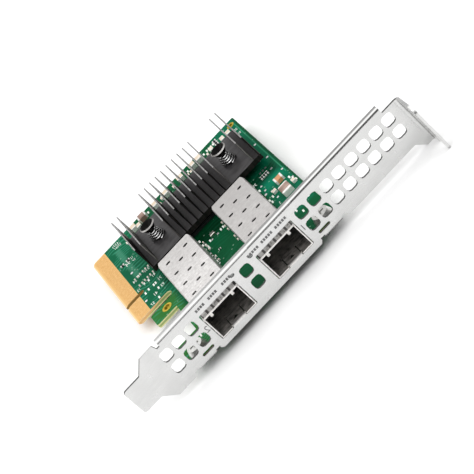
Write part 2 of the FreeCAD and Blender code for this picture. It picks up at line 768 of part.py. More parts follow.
def small_chip(x, y, size_x, size_y, height, below=False):
    """A small leadless chip, on either face of the board."""
    return slab(x, y, -board_thick - height if below else 0.0, size_x, size_y, height)


def large_chip(x, y, size_x, size_y, height):
    """A leadless part whose dipped metal ends stand a little proud of its body."""
    pieces = [slab(x, y, termination_proud, size_x, size_y, height - 2 * termination_proud)]
    for side in (-1, 1):
        reach = side * (0.5 - termination_share / 2)
        if size_x > size_y:
            pieces.append(slab(x + reach * size_x, y, 0.0, size_x * termination_share,
                               size_y + 2 * termination_proud, height))
        else:
            pieces.append(slab(x, y + reach * size_y, 0.0, size_x + 2 * termination_proud,
                               size_y * termination_share, height))
    return fuse(pieces)


def make_inductor(x, y, size_x, size_y, height):
    """A moulded power inductor with wrapped-round terminals."""
    body = slab(x, y, 0, size_x, size_y, height)
    edges = [e for e in body.Edges if any(abs(v.Point.z) > 0.01 for v in e.Vertexes)]
    return body.makeChamfer(0.25, edges)


def leaded_package(x, y, size_x, size_y, height, leads, pitch):
    """A small-outline package: moulded body and two rows of gull-wing leads along x."""
    pieces = [slab(x, y, package_stand, size_x, size_y, height)]
    mid = package_stand + height / 2
    for i in range(leads):
        lead_x = x + (i - (leads - 1) / 2) * pitch - lead_width / 2
        for side in (-1, 1):
            edge = side * size_y / 2
            outline = [(-0.2, mid + 0.1), (0.45, mid + 0.1), (0.55, lead_thick), (lead_reach, lead_thick),
                       (lead_reach, 0.0), (0.4, 0.0), (0.3, mid - 0.1), (-0.2, mid - 0.1)]
            points = [V(lead_x, y + edge + side * out, z) for out, z in outline]
            pieces.append(prism(points, V(lead_width, 0, 0)))
    return fuse(pieces)


def flat_package(x, y, size_x, size_y, height):
    """A leadless moulded package with a bevelled top edge."""
    body = slab(x, y, 0, size_x, size_y, height)
    top = [e for e in body.Edges if all(abs(v.Point.z - height) < 0.01 for v in e.Vertexes)]
    return body.makeChamfer(0.12, top)


# --------------------------------------------------------------------- build
os.makedirs("parts", exist_ok=True)

save(make_bracket(), "bracket")
save_group([bracket_screw(side) for side in (-1, 1)], "bracket_screws")
save(make_board(), "circuit_board")
save_group(make_fingers(0, 1), "edge_contacts_component_side")
save_group(make_fingers(-board_thick, -1), "edge_contacts_solder_side")
save_group([plated_hole(*guide_hole), plated_hole(*tooling_hole)], "plated_hole_rims")

for port, place in (("left", -port_pitch / 2), ("right", port_pitch / 2)):
    save(make_cage(place), "cage_" + port)
    save(make_collar(place), "spring_collar_" + port)
    save(make_host_connector(place), "host_connector_" + port)
    save_group(connector_contacts(place), "connector_contacts_" + port)

save(make_chip(), "controller_chip")
save(slab(sink_x, sink_y, lid_top_z, lid_size, lid_size, sink_low_z - lid_top_z), "thermal_pad")
save(make_heatsink(), "heatsink")
for side_name, (pin_x, pin_y) in zip(("left", "right"), sink_pin_places()):
    save(make_push_pin(pin_x, pin_y), "push_pin_" + side_name)
    save(make_pin_spring(pin_x, pin_y), "push_pin_spring_" + side_name)

for side_name, side in (("left", -1), ("right", 1)):
    save(make_light_guide(side), "light_guide_" + side_name)
save_group([make_lamp(side) for side in (-1, 1)], "status_lamps")

save_group([large_chip(*row) for row in large_capacitors], "large_ceramic_capacitors")
save_group([small_chip(*row) for row in small_capacitors], "small_ceramic_capacitors")
save_group([small_chip(*row) for row in chip_resistors], "chip_resistors")
save_group([small_chip(*row, below=True) for row in hidden_side_capacitors], "solder_side_capacitors")
save_group([make_inductor(*row) for row in power_inductors], "power_inductors")
save(flat_package(-19.6, 87.4, 3.0, 3.0, 0.9), "voltage_regulator")
save(flat_package(-0.4, 50.6, 2.0, 1.6, 0.7), "crystal_oscillator")
save(leaded_package(-6.0, 87.6, 5.0, 4.0, 1.5, 4, 1.27), "flash_memory")
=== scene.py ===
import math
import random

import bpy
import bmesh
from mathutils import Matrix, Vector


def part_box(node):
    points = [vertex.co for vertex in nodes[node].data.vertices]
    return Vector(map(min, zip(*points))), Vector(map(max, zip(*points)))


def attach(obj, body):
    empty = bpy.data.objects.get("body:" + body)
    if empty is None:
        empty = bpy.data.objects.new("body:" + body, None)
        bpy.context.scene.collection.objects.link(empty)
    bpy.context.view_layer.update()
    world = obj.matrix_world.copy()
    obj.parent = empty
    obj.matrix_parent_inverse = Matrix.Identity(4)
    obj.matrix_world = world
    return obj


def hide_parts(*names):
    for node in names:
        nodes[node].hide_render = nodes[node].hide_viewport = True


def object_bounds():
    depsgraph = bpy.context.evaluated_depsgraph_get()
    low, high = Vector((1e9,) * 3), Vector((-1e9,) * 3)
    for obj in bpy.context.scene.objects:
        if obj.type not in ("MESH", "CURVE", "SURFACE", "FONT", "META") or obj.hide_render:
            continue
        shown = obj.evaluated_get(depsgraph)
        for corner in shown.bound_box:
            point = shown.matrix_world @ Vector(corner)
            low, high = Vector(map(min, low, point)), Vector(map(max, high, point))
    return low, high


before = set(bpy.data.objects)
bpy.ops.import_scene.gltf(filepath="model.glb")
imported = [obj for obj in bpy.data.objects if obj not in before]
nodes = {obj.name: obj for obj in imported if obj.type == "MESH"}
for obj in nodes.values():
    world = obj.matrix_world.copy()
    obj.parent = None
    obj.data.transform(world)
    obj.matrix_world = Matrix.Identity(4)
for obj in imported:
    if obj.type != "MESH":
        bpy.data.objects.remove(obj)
cad_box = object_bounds()

# %% [markdown]
# A network interface card in Blender. The construction model comes in as a fixed frame: every solid is at
# its real place, in metres. The origin is on the bracket's outer face, between the two ports, in the plane
# of the board's upper side. X runs along the bracket, Y into the card, and Z stands up from the board. This
# lesson gives those solids their finishes, and adds the fine things that a solid model leaves out: copper
# traces, printed marks, solder pads, small tabs inside the ports, and smooth springs.

MM = 0.001
print("nodes in the frame:", len(nodes))

# %% [markdown]
# A colour is written as an sRGB hex value, as a paint chart gives it. The shader works with light itself,
# in linear numbers, so one function turns every hex value to those.

# %% Colours
def linear(hex_colour):
    """An sRGB hex colour as linear red, green, blue and alpha."""
    channels = [int(hex_colour[i:i + 2], 16) / 255 for i in (1, 3, 5)]
    return [c / 12.92 if c <= 0.04045 else ((c + 0.055) / 1.055) ** 2.4 for c in channels] + [1.0]


print("middle grey #808080 is", [round(c, 3) for c in linear("#808080")])

# %% [markdown]
# Two tools serve every finish. One adds a shader node with its settings and its links, so a material reads
# as a list of steps. The other starts a material and hands over the object's own coordinates: they are in
# metres from the origin of the card, so a pattern's scale is one over its real size.

# %% Shader nodes
def add(tree, kind, **given):
    """Add a node: lower-case names are its settings, the rest its inputs, by name or as n0, n1 and so on."""
    node = tree.nodes.new("ShaderNode" + kind)
    for name, value in given.items():
        if name[0].islower() and not name[1:].isdigit():
            setattr(node, name, value)
            continue
        socket = node.inputs[int(name[1:]) if name[1:].isdigit() else name.replace("_", " ")]
        if isinstance(value, bpy.types.Node):
            value = next(output for output in value.outputs if output.enabled)
        if isinstance(value, bpy.types.NodeSocket):
            tree.links.new(value, socket)
        else:
            socket.default_value = value
    return node


def new_material(name):
    """An empty material: itself, its node tree, and the object's own coordinates."""
    material = bpy.data.materials.new(name)
    material.use_nodes = True
    material.node_tree.nodes.clear()
    return material, material.node_tree, add(material.node_tree, "TexCoord").outputs["Object"]


print("materials before the lesson's own:", len(bpy.data.materials))

# %% [markdown]
# A surface has areas of its own, such as a copper plane under the mask, and some areas are painted light
# and shade: a strip of painted shade, a fold with a painted reflection of something dark. Each is laid over
# the base colour as a rectangle with soft edges, seen from above. A table gives each area as its low corner,
# its high corner, the softness of its edge, its colour and its strength from 0 to 1. Places and softness are
# in millimetres.

# %% Soft-edged areas
def with_areas(tree, place, colour, areas):
    """Lay the areas of a table over a colour, one after another."""
    for low, high, softness, hex_colour, strength in areas:
        centre = [(a + b) / 2 * MM for a, b in zip(low, high)] + [0.0]
        half = [(b - a) / 2 * MM for a, b in zip(low, high)] + [0.0]
        offset = add(tree, "VectorMath", operation="SUBTRACT", n0=place, n1=centre)
        distance = add(tree, "VectorMath", operation="ABSOLUTE", n0=offset)
        depth = add(tree, "VectorMath", operation="SUBTRACT", n0=half, n1=distance)
        sides = add(tree, "SeparateXYZ", Vector=depth)
        inside = add(tree, "Math", operation="MINIMUM", n0=sides.outputs["X"], n1=sides.outputs["Y"])
        factor = add(tree, "MapRange", Value=inside, From_Min=-softness * MM, From_Max=softness * MM,
                     To_Max=strength)
        colour = add(tree, "Mix", data_type="RGBA", n0=factor, n6=colour, n7=linear(hex_colour))
    return colour


print("an area's corners are in millimetres; the shader counts each as", MM)

# %% [markdown]
# The bracket is cold-rolled steel with a matte nickel plate: pale, with a soft sheen and a faint rolling
# grain along its length. The cages are nickel silver, a little warmer, finely mottled where the plate was
# tumbled. The spring collars are thin strip, smoother and brighter than either; under them the cage is
# painted dark, painted shade. Where sheet is sheared, its edge is rougher and darker than its plated faces,
# so each cut-out has an outline. The grain of rolled sheet is a few hundredths of a millimetre wide; it is
# drawn ten times coarser, to show. Every metal here keeps the default index of refraction.

# %% The recipe for sheet metal
GRAIN_STRETCH, GRAIN_DEPTH, MOTTLE_SHARE = 0.06, 0.006, 0.6


def rolled_sheet(name, hex_light, hex_dark, roughness, grain_mm, mottle_mm, metallic=1.0, areas=()):
    """Plated sheet: a rolling grain along X, a soft mottle, a slightly uneven sheen, and any areas of painted
    light and shade.
    """
    material, tree, place = new_material(name)
    along = add(tree, "Mapping", Vector=place, Scale=(GRAIN_STRETCH, 1.0, 1.0))
    grain = add(tree, "TexNoise", Vector=along, Scale=1 / (grain_mm * MM), Detail=3.0)
    mottle = add(tree, "TexNoise", Vector=place, Scale=1 / (mottle_mm * MM), Detail=4.0, Roughness=0.6)
    both = add(tree, "Mix", data_type="FLOAT", n0=MOTTLE_SHARE, n2=grain.outputs[0], n3=mottle.outputs[0])
    tone = add(tree, "MapRange", Value=both, From_Min=0.36, From_Max=0.64)
    colour = add(tree, "Mix", data_type="RGBA", n0=tone, n6=linear(hex_dark), n7=linear(hex_light))
    colour = with_areas(tree, place, colour, areas)
    sheen = add(tree, "MapRange", Value=mottle, From_Min=0.3, From_Max=0.7,
                To_Min=roughness - 0.05, To_Max=roughness + 0.07)
    relief = add(tree, "Bump", Strength=0.5, Distance=GRAIN_DEPTH * MM, Height=grain)
    shader = add(tree, "BsdfPrincipled", Base_Color=colour, Metallic=metallic, Roughness=sheen, Normal=relief)
    add(tree, "OutputMaterial", Surface=shader)
    return material


print("grain is stretched", round(1 / GRAIN_STRETCH), "times along the sheet and", GRAIN_DEPTH, "mm deep")

# %% [markdown]
# Two of the sheets carry painted light and shade. The cages have painted shade under their collars, the
# right cage's roof is painted a shade darker than the left, and both roofs are painted darker towards the
# heatsink, as painted shade. The bracket's flange is painted a little darker than its face, painted shade, so
# that it doesn't burn out under the bright sky. Its bend carries a painted reflection of what is dark near
# the horizon, more so towards the ear, and its far edge is a thin painted dark line, a painted reflection.

# %% Sheet metals
cage_painted_shade = (
    ((-40.0, 0.2), (40.0, 4.5), 0.15, "#3A3735", 0.92),  # the shade under the collars
    # painted shade: the right cage's roof darker than the left, and both roofs darker towards the heatsink
    ((4.0, 6.0), (21.0, 50.0), 2.0, "#B9B6B4", 0.5),  # the roof of the right cage
    ((-21.0, 34.0), (21.0, 60.0), 8.0, "#B9B6B4", 0.4),  # both roofs, towards the heatsink
)
bracket_painted_shade_and_reflections = (
    # painted shade: the flange darker than the face, so that it doesn't burn out under the sky
    ((-80.0, 1.2), (80.0, 30.0), 0.3, "#A5A5A4", 0.75),  # the flange
    # painted reflection: a thin dark line along the flange's far edge
    ((-80.0, 2.45), (80.0, 2.9), 0.15, "#262625", 0.92),  # the flange's far edge
    # painted reflection: the bend mirrors the dark band near the horizon, darker towards the ear
    ((-80.0, 0.11), (80.0, 0.34), 0.06, "#4A4A49", 0.55),  # the bend, all along
    ((5.0, 0.11), (80.0, 0.34), 0.06, "#2E2E2D", 0.6),  # the bend, towards the ear
    ((24.0, 0.11), (80.0, 0.34), 0.06, "#1E1E1D", 0.6),  # the bend, beside the ear
)
# Pale and even, with a soft sheen: the plate hides the steel.
nickel_steel = rolled_sheet("matte_nickel_plated_steel", "#D4D4D3", "#CACAC9", 0.22, 0.4, 5.0,
                            areas=bracket_painted_shade_and_reflections)
# Torn by the punch, so rough and grey: it outlines each cut-out.
sheared_steel = rolled_sheet("sheared_steel_edge", "#6C6C6A", "#4C4C4A", 0.45, 0.4, 1.2)
# Tumbled, so it glitters in small warm patches.
nickel_silver = rolled_sheet("nickel_silver_sheet", "#F4F2F0", "#CFCCCA", 0.42, 0.3, 0.8, areas=cage_painted_shade)
# Painted shade: darker and rougher, so a port reads as deep.
nickel_silver_inner = rolled_sheet("nickel_silver_painted_shade_inside", "#938F8A", "#343230", 0.6, 0.8, 2.4, 0.3)
# Bright rolled strip: each bowed finger carries a line of light.
spring_sheet = rolled_sheet("tinned_spring_strip", "#E6E4E1", "#BDBAB6", 0.30, 0.3, 1.2)
print("sheet metals:", nickel_steel.name, nickel_silver.name, spring_sheet.name)

# %% [markdown]
# Gold on a card edge is a hard electroplate over nickel, so it is smooth and a little orange. The plated
# rings of the board are left under a thin lacquer, which turns them to olive. Spring wire, zinc-plated
# screws and solder are brighter and smoother than the sheets. All of them have the same recipe: two tones,
# mixed in small soft patches, with the sheen a little uneven.

# %% Small metals
PLATE_DEPTH = 0.004


def plated_metal(name, hex_light, hex_dark, roughness, mottle_mm):
    """A plated or drawn metal with small changes of tone and sheen."""
    material, tree, place = new_material(name)
    mottle = add(tree, "TexNoise", Vector=place, Scale=1 / (mottle_mm * MM), Detail=3.0)
    tone = add(tree, "MapRange", Value=mottle, From_Min=0.3, From_Max=0.7)
    colour = add(tree, "Mix", data_type="RGBA", n0=tone, n6=linear(hex_dark), n7=linear(hex_light))
    sheen = add(tree, "MapRange", Value=mottle, From_Min=0.3, From_Max=0.7,
                To_Min=roughness + 0.05, To_Max=roughness)
    relief = add(tree, "Bump", Strength=0.4, Distance=PLATE_DEPTH * MM, Height=mottle)
    shader = add(tree, "BsdfPrincipled", Base_Color=colour, Metallic=1.0, Roughness=sheen, Normal=relief)
    add(tree, "OutputMaterial", Surface=shader)
    return material


# Hard gold over nickel: smooth, warm and a little orange.
gold = plated_metal("hard_gold_plate", "#F3CC90", "#E2B36F", 0.42, 0.8)
# Gold seen through green-tinted lacquer: olive.
olive_gold = plated_metal("lacquered_gold_ring", "#D9C24A", "#B59A35", 0.38, 0.6)
# Drawn through a polished die: almost a mirror, so each turn has a white line.
spring_wire = plated_metal("drawn_spring_wire", "#F4F4F4", "#D2D2D2", 0.14, 2.0)
# Zinc on a screw: bright, a little blurred.
zinc = plated_metal("zinc_plated_steel", "#E2E2DF", "#BDBDB9", 0.27, 0.7)
# Solder that set slowly: pale and satin.
tin = plated_metal("tin_solder", "#F4F4F5", "#D6D6D8", 0.34, 0.4)
# A pressed can, plated after pressing: warm and even.
can_metal = plated_metal("nickel_plated_can", "#E3DFD7", "#C0BCB4", 0.30, 0.6)
# Bare aluminium where a fin was sheared: light grey against the black.
sheared_edge = plated_metal("sheared_aluminium_edge", "#BDBCBB", "#8B8988", 0.38, 0.9)
print("small metals:", gold.name, spring_wire.name, zinc.name, tin.name)

# %% [markdown]
# The board is glass cloth in epoxy, with copper on it, under a green solder mask, a thin lacquer: deep
# green over bare laminate, and a lighter, bluer green over copper. Its tone also changes with the copper
# planes of the inner layers, so the area by the card edge, the area between the cages and the area beyond
# the right cage are three different greens, and it is darker in the shade of the cages and the heatsink.
# Between the contacts of the card edge there is no mask: the laminate is bare, and warm from the gold
# beside it.

# %% The board's areas
mask_areas = (
    ((-40.0, 43.5), (-20.0, 100.0), 1.2, "#005E3E", 1.0),  # the plane by the card edge
    ((20.5, 20.0), (34.0, 100.0), 1.2, "#006345", 1.0),  # the plane beyond the right cage
    ((21.0, 43.0), (29.5, 51.5), 1.6, "#0B8060", 0.7),  # a patch of copper on that plane
    ((-34.0, 0.0), (-22.0, 43.5), 1.0, "#35752F", 0.75),  # no plane, beside the left cage
    ((-23.0, 49.0), (30.5, 57.0), 1.8, "#06200F", 0.8),  # the shade of the heatsink
    ((-19.6, -2.0), (-5.2, 45.2), 0.6, "#15140F", 0.95),  # the shade of the left cage
    ((5.2, -2.0), (19.6, 45.2), 0.6, "#15140F", 0.95),  # the shade of the right cage
    ((30.9, 20.0), (34.0, 99.0), 0.15, "#0A4A2A", 0.9),  # the rim, which copper keeps clear of
    ((30.25, 44.0), (30.6, 94.5), 0.1, "#3F9A72", 0.7),  # the last trace before the rim
    ((-28.5, 69.0), (-26.4, 93.0), 0.5, "#5FA58A", 0.35),  # a bundle of traces
)
bare_areas = (
    ((-40.0, 46.0), (-31.3, 100.0), 0.05, "#E2B676", 1.0),  # the laminate between the contacts
    ((-40.0, 46.0), (-36.8, 100.0), 0.3, "#F8DCB0", 0.9),  # the bevel
)
print("areas of the mask:", len(mask_areas), " of bare board by the card edge:", len(bare_areas))

# %% [markdown]
# Real traces are 0.12 mm wide and lie 0.3 mm apart; they are drawn several times coarser, so that they show
# from a step away. They are stripes whose lanes are pushed aside by a slow noise, so they wander as routed
# pairs do, and a second noise leaves places without any. They show best beside the card edge, and they are
# raised a little, because the mask follows the copper. Vias are the middles of Voronoi cells.

# %% Solder mask
LANE, DRIFT, SWING, ROUTED, TRACE_DEPTH = 0.9, 16.0, 14.0, 7.0, 0.02
TRACE, CARD_SIDE, SHOWN = (0.2, 0.45), (-19.0, -23.0), (0.07, 0.6)
VIA_PITCH, VIA_RIM = 2.3, (0.1, 0.15)


def mask_finish():
    """Green mask over wandering traces, inner planes and vias, and the bare laminate by the card edge."""
    material, tree, place = new_material("green_solder_mask_on_glass_epoxy")
    axes = add(tree, "SeparateXYZ", Vector=place)
    colour = with_areas(tree, place, linear("#00532F"), mask_areas)
    drift = add(tree, "TexNoise", Vector=place, Scale=1 / (DRIFT * MM), Detail=1.0)
    lane = add(tree, "Math", operation="MULTIPLY_ADD", n0=drift, n1=SWING * MM, n2=axes.outputs["Y"])
    stripe = add(tree, "Math", operation="PINGPONG", n0=lane, n1=LANE * MM)
    trace = add(tree, "MapRange", Value=stripe, From_Min=TRACE[0] * MM, From_Max=TRACE[1] * MM,
                To_Min=1.0, To_Max=0.0)
    patches = add(tree, "TexNoise", Vector=place, Scale=1 / (ROUTED * MM), Detail=0.0)
    routed = add(tree, "MapRange", Value=patches, From_Min=0.4, From_Max=0.5)
    by_edge = add(tree, "MapRange", Value=axes.outputs["X"], From_Min=CARD_SIDE[0] * MM,
                  From_Max=CARD_SIDE[1] * MM, To_Min=SHOWN[0], To_Max=SHOWN[1])
    copper = add(tree, "Math", operation="MULTIPLY", n0=trace, n1=routed)
    shown = add(tree, "Math", operation="MULTIPLY", n0=copper, n1=by_edge)
    colour = add(tree, "Mix", data_type="RGBA", n0=shown, n6=colour, n7=linear("#389272"))
    cells = add(tree, "TexVoronoi", feature="F1", Vector=place, Scale=1 / (VIA_PITCH * MM))
    via = add(tree, "MapRange", Value=cells.outputs["Distance"], From_Min=VIA_RIM[0],
              From_Max=VIA_RIM[1], To_Min=0.5, To_Max=0.0)
    colour = add(tree, "Mix", data_type="RGBA", n0=via, n6=colour, n7=linear("#A8CBB4"))
    colour = with_areas(tree, place, colour, bare_areas)
    relief = add(tree, "Bump", Strength=0.5, Distance=TRACE_DEPTH * MM, Height=copper)
    shader = add(tree, "BsdfPrincipled", Base_Color=colour, Roughness=0.38, IOR=1.5, Specular_IOR_Level=0.04,
                 Normal=relief)
    add(tree, "OutputMaterial", Surface=shader)
    return material


# A thin lacquer: an even satin, with only a faint shine.
solder_mask = mask_finish()
print("solder mask:", solder_mask.name, "with", len(solder_mask.node_tree.nodes), "nodes")

# %% [markdown]
# The board's side shows how it is made: layers of glass cloth in resin, cut through, with the thicker core
# as a band in the middle. The same recipe gives the sawn outline, the paler routed slots, the side of the
# card edge, which the gold tints, and the wall of the key slot, which lies between gold contacts.

# %% Laminate edges
def middle(name):
    """The middle of a node's box, in millimetres."""
    low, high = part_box(name)
    return [round((a + b) / 2 / MM, 4) for a, b in zip(low, high)]


BOARD_MIDDLE = middle("circuit_board")[2]
LAYER, CORE, GLASS_DEPTH = 0.18, (0.3, 0.45), 0.02
ALONG_THE_CLOTH = (0.1, 0.1, 1.0)


def laminate_edge(name, hex_resin, hex_glass, hex_core):
    """The side of the board: glass fibres in resin, in thin layers, with the core's band in the middle."""
    material, tree, place = new_material(name)
    flat = add(tree, "Mapping", Vector=place, Scale=ALONG_THE_CLOTH)
    layers = add(tree, "TexNoise", Vector=flat, Scale=1 / (LAYER * MM), Detail=2.0)
    colour = add(tree, "Mix", data_type="RGBA", n0=layers, n6=linear(hex_resin), n7=linear(hex_glass))
    level = add(tree, "SeparateXYZ", Vector=place).outputs["Z"]
    rise = add(tree, "Math", operation="SUBTRACT", n0=level, n1=BOARD_MIDDLE * MM)
    off_middle = add(tree, "Math", operation="ABSOLUTE", n0=rise)
    core = add(tree, "MapRange", Value=off_middle, From_Min=CORE[0] * MM, From_Max=CORE[1] * MM,
               To_Min=0.8, To_Max=0.0)
    colour = add(tree, "Mix", data_type="RGBA", n0=core, n6=colour, n7=linear(hex_core))
    relief = add(tree, "Bump", Strength=0.6, Distance=GLASS_DEPTH * MM, Height=layers)
    shader = add(tree, "BsdfPrincipled", Base_Color=colour, Roughness=0.62, IOR=1.55, Normal=relief)
    add(tree, "OutputMaterial", Surface=shader)
    return material


# Sawn: dull and olive.  Routed: paler, because the glass is torn.  Beside gold: warm and golden.
sawn_edge = laminate_edge("sawn_glass_epoxy_edge", "#7E8A44", "#B9B06A", "#6E7A3C")
routed_edge = laminate_edge("routed_slot_edge", "#D2CC86", "#F2EEBC", "#7F9A4E")
card_side = laminate_edge("bevelled_card_edge_laminate", "#EAB876", "#FADCAE", "#E6B270")
key_wall = laminate_edge("routed_key_wall", "#8A6A30", "#B08A48", "#9A7838")
print("board edges:", sawn_edge.name, routed_edge.name, card_side.name, key_wall.name)

# %% [markdown]
# The heatsink is aluminium with a black anodised skin: almost black, not mirror-like, with a grey sheen
# where light grazes it. The skin is dyed oxide over metal, so the shader is half metal. Rolling leaves
# streaks up the fins' sides, and a cutter leaves them across the base. They are a tenth of a millimetre
# wide, and drawn ten times coarser, to show. The fins are sheared from sheet, so their thin upper edges
# show bare, bright metal.

# %% Anodised aluminium
STREAK_DEPTH, METAL_SHARE = 0.01, 0.5
UP_THE_FIN, ACROSS_THE_BASE = (1.0, 1.0, 0.12), (0.3, 1.0, 1.0)


def anodised(name, hex_light, hex_dark, stretch, streak_mm):
    """Black anodising over worked metal; stretch draws its streaks out along one axis."""
    material, tree, place = new_material(name)
    drawn = add(tree, "Mapping", Vector=place, Scale=stretch)
    streak = add(tree, "TexNoise", Vector=drawn, Scale=1 / (streak_mm * MM), Detail=3.0)
    tone = add(tree, "MapRange", Value=streak, From_Min=0.35, From_Max=0.65)
    colour = add(tree, "Mix", data_type="RGBA", n0=tone, n6=linear(hex_dark), n7=linear(hex_light))
    sheen = add(tree, "MapRange", Value=streak, From_Min=0.3, From_Max=0.7, To_Min=0.36, To_Max=0.5)
    relief = add(tree, "Bump", Strength=0.5, Distance=STREAK_DEPTH * MM, Height=streak)
    shader = add(tree, "BsdfPrincipled", Base_Color=colour, Metallic=METAL_SHARE, Roughness=sheen,
                 Normal=relief)
    add(tree, "OutputMaterial", Surface=shader)
    return material


# The sides lie in each other's shade and read as black.  The edges beside an open bay are painted lighter:
# painted light from the sky.
anodised_fin = anodised("black_anodised_fin", "#241E1C", "#050404", UP_THE_FIN, 1.1)
anodised_front = anodised("black_anodised_fin_front_painted_light", "#8A8583", "#5A5553", UP_THE_FIN, 1.1)
# The milled base is the greyest part: painted lighter in the bays, painted light, and a little darker down
# between the fins, painted shade.
anodised_base = anodised("black_anodised_bay_base_painted_light", "#5A5859", "#434142", ACROSS_THE_BASE, 1.6)
anodised_gap = anodised("black_anodised_gap_floor_painted_shade", "#4C494A", "#383637", ACROSS_THE_BASE, 1.6)
print("anodised:", anodised_fin.name, anodised_front.name, anodised_base.name, anodised_gap.name)

# %% [markdown]
# The push pins are moulded nylon, the connectors and packages are filled resins with a fine spark-eroded
# texture from their moulds, and the light guides are clear acrylic. One recipe serves them all: two close
# tones in patches, and a fine grain in the sheen and the relief, drawn a few times coarser than the
# mould's, to show.

# %% The recipe for mouldings
PATCH_PER_GRAIN = 12


def moulded(name, hex_light, hex_dark, roughness, texture_mm, depth_mm, **values):
    """A moulded resin with the fine texture of its mould."""
    material, tree, place = new_material(name)
    grain = add(tree, "TexNoise", Vector=place, Scale=1 / (texture_mm * MM), Detail=3.0, Roughness=0.6)
    patch = add(tree, "TexNoise", Vector=place, Scale=1 / (texture_mm * PATCH_PER_GRAIN * MM), Detail=1.0)
    tone = add(tree, "MapRange", Value=patch, From_Min=0.3, From_Max=0.7)
    colour = add(tree, "Mix", data_type="RGBA", n0=tone, n6=linear(hex_dark), n7=linear(hex_light))
    sheen = add(tree, "MapRange", Value=grain, From_Min=0.3, From_Max=0.7,
                To_Min=roughness - 0.06, To_Max=roughness + 0.06)
    relief = add(tree, "Bump", Strength=0.6, Distance=depth_mm * MM, Height=grain)
    shader = add(tree, "BsdfPrincipled", Base_Color=colour, Roughness=sheen, Normal=relief, **values)
    add(tree, "OutputMaterial", Surface=shader)
    return material


print("a patch of tone is", PATCH_PER_GRAIN, "times as wide as a grain")

# %% [markdown]
# Each moulding starts from the usual refractive index of its plastic, and from the finish of its mould.

# %% Mouldings and inks
# Black nylon from a polished mould; its rim is painted light grey, a painted highlight in the shape of a
# crescent.
nylon = moulded("moulded_nylon", "#0A0908", "#040404", 0.24, 0.25, 0.01, IOR=1.53, Specular_IOR_Level=0.04)
nylon_rim = moulded("nylon_rim_painted_highlight", "#D8D5D2", "#8E8B88", 0.2, 0.25, 0.004, IOR=1.6)
# Glass-filled and mineral-filled resins: dark, matte, finely pitted.
filled_resin = moulded("glass_filled_polymer", "#1F1D1C", "#151312", 0.5, 0.2, 0.02, IOR=1.6)
epoxy = moulded("epoxy_moulding", "#2B2B2D", "#212123", 0.55, 0.15, 0.02, IOR=1.55)
# A soft grey pad with no shine at all.
silicone = moulded("silicone_pad", "#8C8E92", "#7C7E82", 0.7, 0.3, 0.02, IOR=1.43)
# Clear and smooth, so it shows mostly its edges; the lamp under it is a cloudy cast resin.
acrylic = moulded("clear_acrylic", "#F4F7F6", "#E9EFED", 0.12, 0.6, 0.004, IOR=1.49, Transmission_Weight=0.85)
lamp_resin = moulded("cast_lamp_resin", "#F0EFE2", "#E1E4D0", 0.25, 0.2, 0.01, IOR=1.5)
# Printed inks: flat films that dry matte.
grey_ink = moulded("grey_screen_ink", "#6F6F6F", "#585858", 0.6, 0.2, 0.01, IOR=1.5)
white_ink = moulded("white_screen_ink", "#FBFDF8", "#E6ECE4", 0.55, 0.2, 0.01, IOR=1.5)
print("mouldings:", nylon.name, filled_resin.name, epoxy.name, acrylic.name)

# %% [markdown]
# A chip part is a small block of fired ceramic whose two ends are dipped in tin. One node holds many of
# them, so the shader must know where each part ends. Each part is a loose island of the mesh: its own box
# is measured, and the place along its longer side goes into an attribute from 0 to 1.

# %% Where each chip part begins and ends
REACH = 1e-6


def island_boxes(mesh):
    """The lowest and highest corner of each group of faces that hangs together."""
    builder = bmesh.new()
    builder.from_mesh(mesh)
    bmesh.ops.remove_doubles(builder, verts=builder.verts, dist=REACH)
    builder.verts.ensure_lookup_table()
    seen, boxes = set(), []
    for start in builder.verts:
        if start in seen:
            continue
        queue, group = [start], []
        seen.add(start)
        while queue:
            vertex = queue.pop()
            group.append(vertex.co.copy())
            for edge in vertex.link_edges:
                other = edge.other_vert(vertex)
                if other not in seen:
                    seen.add(other)
                    queue.append(other)
        boxes.append([Vector([pick(co[i] for co in group) for i in range(3)]) for pick in (min, max)])
    builder.free()
    return boxes


def mark_length(obj):
    """Write each vertex's place along its own part's longer side, from 0 to 1, as the attribute 'along'."""
    boxes = island_boxes(obj.data)
    attribute = obj.data.attributes.new("along", "FLOAT", "POINT")
    for i, vertex in enumerate(obj.data.vertices):
        for low, high in boxes:
            if all(low[k] - REACH <= vertex.co[k] <= high[k] + REACH for k in range(3)):
                axis = 0 if high.x - low.x > high.y - low.y else 1
                attribute.data[i].value = (vertex.co[axis] - low[axis]) / (high[axis] - low[axis])
                break
    return len(boxes)


for name in ("large_ceramic_capacitors", "small_ceramic_capacitors", "solder_side_capacitors",
             "chip_resistors", "power_inductors"):
    print(name, "parts:", mark_length(nodes[name]))

# %% [markdown]
# The shader reads that attribute and turns both ends to tin, the share that the dipping covers. Fired
# ceramic is a little speckled, and each batch has its own tone, so two noises mix the body's colours. The
# speckle is drawn coarser than the ceramic's own grain, to show. Moulded, glazed and pressed bodies take
# the same recipe in colours of their own.

# %% Chip parts with tinned ends
SPECKLE, BATCH, SPECKLE_DEPTH = 0.3, 4.0, 0.02


